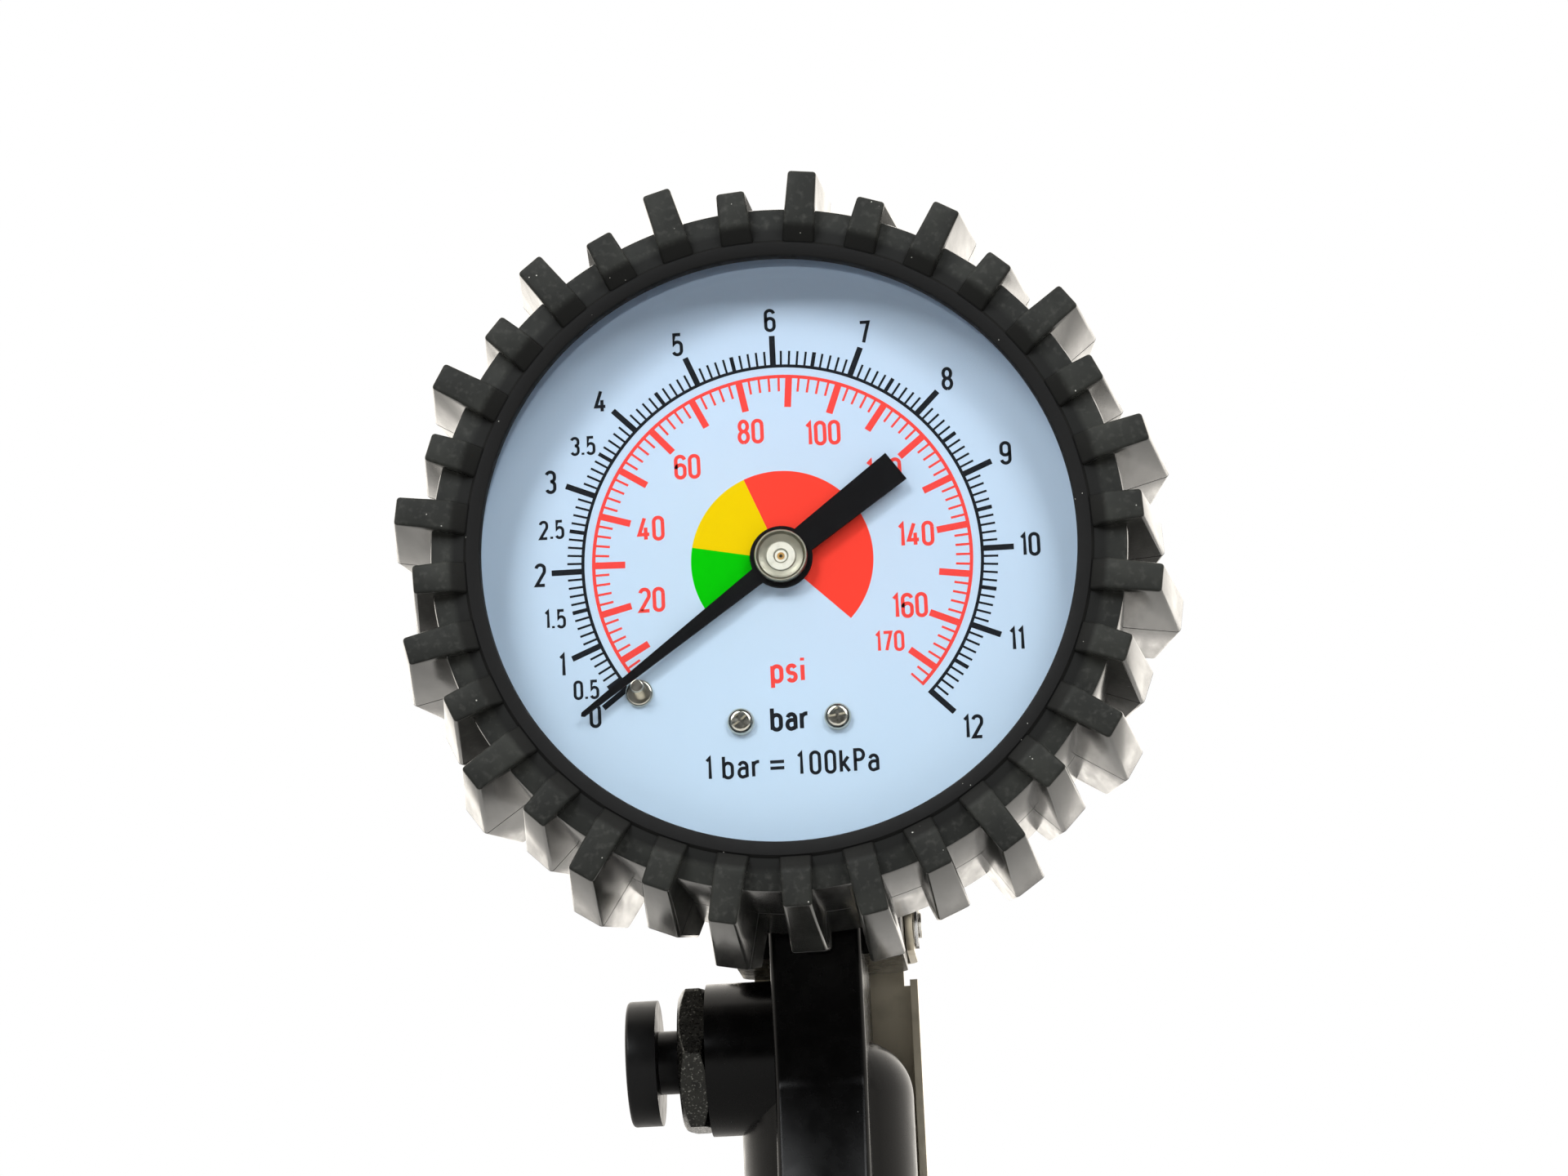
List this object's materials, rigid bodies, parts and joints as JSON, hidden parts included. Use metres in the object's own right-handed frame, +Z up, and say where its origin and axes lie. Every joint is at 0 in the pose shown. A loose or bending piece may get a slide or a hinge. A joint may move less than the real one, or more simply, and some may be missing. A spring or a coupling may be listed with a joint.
{
  "type": "tyre inflator gun with pressure gauge",
  "caption": "Tyre inflator with a dial gauge in a lugged rubber boot on a black cast handle, with squeeze lever, bleed button, air inlet nipple and hose outlet.",
  "frame": {"origin": "free end of the air inlet nipple, on the axis of the round handle", "axes": "+Z up along the handle towards the gauge; +Y away from the dial, out of the hose outlet; the dial faces -Y; +X to the right for someone who reads the dial"},
  "size_m": [0.0982, 0.0937, 0.2422],
  "materials": {
    "boot_rubber": "matt moulded rubber",
    "case_paint": "black enamelled steel",
    "clear_plastic": "clear polycarbonate",
    "black_rubber": "nitrile rubber",
    "dial_enamel": "white printed dial",
    "nickel": "nickel plated",
    "pointer_black": "satin black",
    "brass": "turned brass",
    "spring_bronze": "phosphor bronze",
    "tube_bronze": "drawn bronze",
    "body_paint": "satin black powder coat on a die casting",
    "dark_chrome": "black chrome",
    "button_black": "satin black",
    "spring_steel": "bright spring wire",
    "steel_pin": "ground steel",
    "lever_nickel": "nickel plated pressed sheet",
    "nipple_steel": "zinc plated steel",
    "washer_fibre": "red sealing fibre"
  },
  "bodies": {
    "frame": {"bezel_ring": "case_paint", "bleed_nut": "dark_chrome", "bleed_spring": "spring_steel", "bourdon_tube": "tube_bronze", "dial_plate": "dial_enamel", "dial_screws": "nickel", "gauge_boot": "boot_rubber", "gauge_case": "case_paint", "gauge_socket": "brass", "hairspring": "spring_bronze", "handle_body": "body_paint", "inlet_nipple": "nipple_steel", "inlet_washer": "washer_fibre", "lever_pin": "steel_pin", "movement_back_plate": "brass", "movement_front_plate": "brass", "movement_pillars": "brass", "movement_screws": "nickel", "pin_clip": "spring_steel", "socket_screws": "nickel", "stem_washer": "black_rubber", "stop_pin": "nickel", "valve_gland": "brass", "valve_gland_ring": "black_rubber", "valve_spring": "spring_steel", "window": "clear_plastic", "window_gasket": "black_rubber"},
    "pointer_set": {"pointer": "pointer_black", "pointer_cap": "nickel", "pinion_shaft": "brass"},
    "sector": {"sector_gear": "brass"},
    "tube_end": {"tube_tip": "brass"},
    "link": {"tip_link": "brass"},
    "bleed_set": {"bleed_button": "button_black", "bleed_seal": "black_rubber", "bleed_poppet": "brass"},
    "valve_set": {"valve_pin": "steel_pin", "valve_seal": "black_rubber", "valve_poppet": "brass"},
    "lever": {"trigger_lever": "lever_nickel"}
  },
  "joints": [
    {"name": "sector_swing", "type": "hinge", "parent": "frame", "child": "sector", "pos_m": [0.0035, -0.038, 0.18231], "axis": [0, -1, 0], "range_deg": [0, 32.7], "stiffness_Nm_per_rad": 0.01, "springref_deg": -5.73},
    {"name": "pointer_spin", "type": "hinge", "parent": "frame", "child": "pointer_set", "pos_m": [0, -0.043, 0.193], "axis": [0, 1, 0], "range_deg": [0, 261.61], "deforming": ["hairspring"]},
    {"name": "tube_flex", "type": "hinge", "parent": "frame", "child": "tube_end", "pos_m": [-0.0042, -0.036, 0.20027], "axis": [0, -1, 0], "range_deg": [0, 8.1], "deforming": ["bourdon_tube"]},
    {"name": "link_turn", "type": "hinge", "parent": "tube_end", "child": "link", "pos_m": [0.0139, -0.0367, 0.1854], "axis": [0, -1, 0], "range_deg": [-11.8, 0]},
    {"name": "lever_swing", "type": "hinge", "parent": "frame", "child": "lever", "pos_m": [0, 0.006, 0.1546], "axis": [-1, 0, 0], "range_deg": [0, 6.2], "stiffness_Nm_per_rad": 3, "springref_deg": -8.59},
    {"name": "valve_travel", "type": "slide", "parent": "frame", "child": "valve_set", "axis": [0, -1, 0], "range_m": [0, 0.0036], "deforming": ["valve_spring"]},
    {"name": "bleed_press", "type": "slide", "parent": "frame", "child": "bleed_set", "axis": [1, 0, 0], "range_m": [0, 0.0025], "stiffness_N_per_m": 800, "springref_m": -0.004, "deforming": ["bleed_spring"]}
  ],
  "couplings": [
    {"joint": "pointer_spin", "follows": "sector_swing", "ratio": 8},
    {"joint": "tube_flex", "follows": "sector_swing", "ratio": 0.24636},
    {"joint": "link_turn", "follows": "sector_swing", "ratio": -0.35894},
    {"joint": "valve_travel", "follows": "lever_swing", "m_per_rad": 0.0331}
  ]
}
